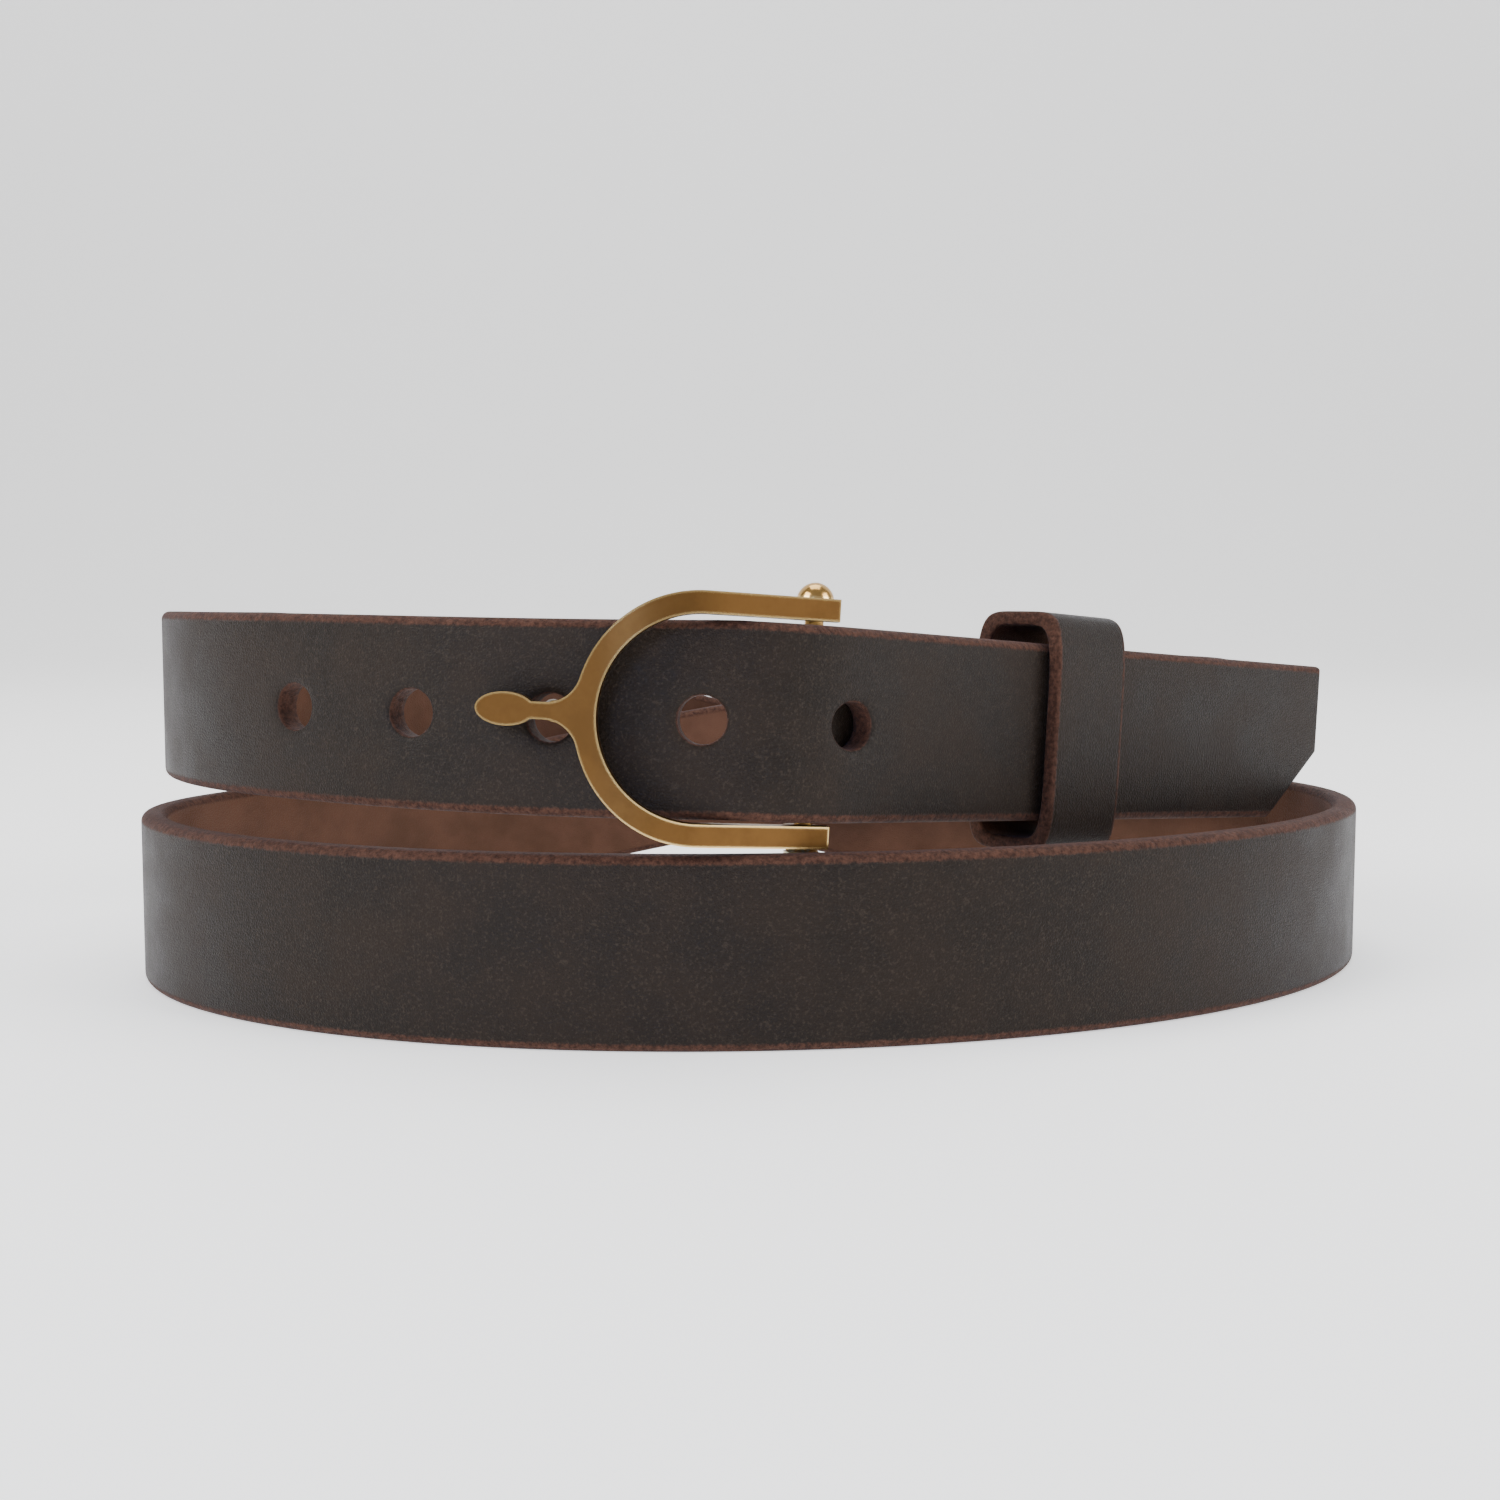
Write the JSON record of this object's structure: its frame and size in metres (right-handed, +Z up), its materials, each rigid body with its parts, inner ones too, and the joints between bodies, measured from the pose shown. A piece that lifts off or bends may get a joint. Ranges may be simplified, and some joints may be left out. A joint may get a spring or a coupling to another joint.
{
  "type": "leather belt",
  "caption": "Dark brown leather belt coiled in two turns and buckled, with a hinged brass spur buckle, punched tip and sliding leather keeper.",
  "frame": {"origin": "middle of the coil's footprint on the surface it stands on", "axes": "+Z up, +X along the coil's longest side towards the tip's end, -Y towards the viewer and the buckle's face"},
  "size_m": [0.1938, 0.1454, 0.0599],
  "materials": {
    "strap_leather": "waxed bridle leather with bevelled brown edges",
    "keeper_leather": "waxed bridle leather",
    "buckle_brass": "satin face with polished bevels, lightly aged",
    "screw_brass": "polished",
    "staple_steel": "bright wire"
  },
  "bodies": {
    "belt": {"strap": "strap_leather", "screw_post_1": "screw_brass", "binding_screw_1": "screw_brass", "screw_post_2": "screw_brass", "binding_screw_2": "screw_brass"},
    "buckle": {"buckle_frame": "buckle_brass", "hinge_pin": "buckle_brass", "upper_knob": "buckle_brass", "lower_knob": "buckle_brass"},
    "keeper_loop": {"keeper": "keeper_leather", "keeper_staple": "staple_steel"}
  },
  "joints": [
    {"name": "buckle_swing", "type": "hinge", "parent": "belt", "child": "buckle", "pos_m": [0.00499, -0.05812, 0.04153], "axis": [0.0531, 0.0478, 0.9974], "range_deg": [0, 30]},
    {"name": "keeper_slide", "type": "slide", "parent": "belt", "child": "keeper_loop", "axis": [0.7412, 0.6674, -0.0715], "range_m": [-0.015, 0.0045]}
  ]
}
